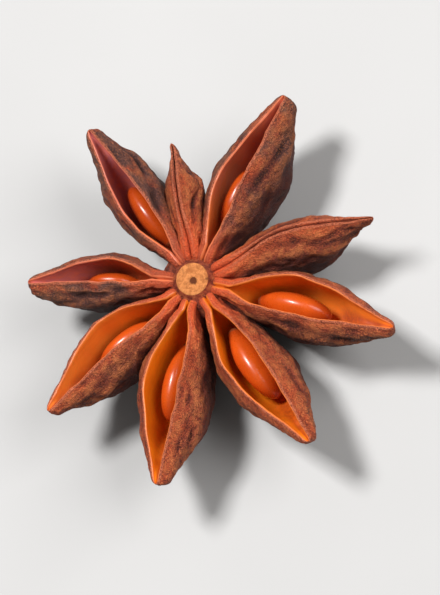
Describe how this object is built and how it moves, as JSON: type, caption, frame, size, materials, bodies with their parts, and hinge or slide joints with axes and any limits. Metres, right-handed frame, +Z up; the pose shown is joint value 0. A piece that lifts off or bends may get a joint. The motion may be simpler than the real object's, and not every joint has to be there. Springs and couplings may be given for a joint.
{
  "type": "star anise pod",
  "caption": "Dried star anise pod: woody boat-shaped carpels round a short column, most split along the top seam with a glossy seed inside, resting on its keels.",
  "frame": {"origin": "middle of the pod's outline, on the surface that its keels rest on", "axes": "+Z up, out of the carpels' open seams; +X and +Y across the star, with the widest-open carpels towards -Y"},
  "size_m": [0.0296, 0.0302, 0.0082],
  "materials": {
    "husk": "dry, wrinkled and matt outside, smooth and orange-brown inside",
    "seed": "hard and glossy"
  },
  "bodies": {
    "root": {"husk": "husk", "seed_east": "seed", "seed_southeast": "seed", "seed_south": "seed", "seed_southwest": "seed", "seed_west": "seed", "seed_northwest": "seed", "seed_northeast": "seed"}
  },
  "joints": []
}
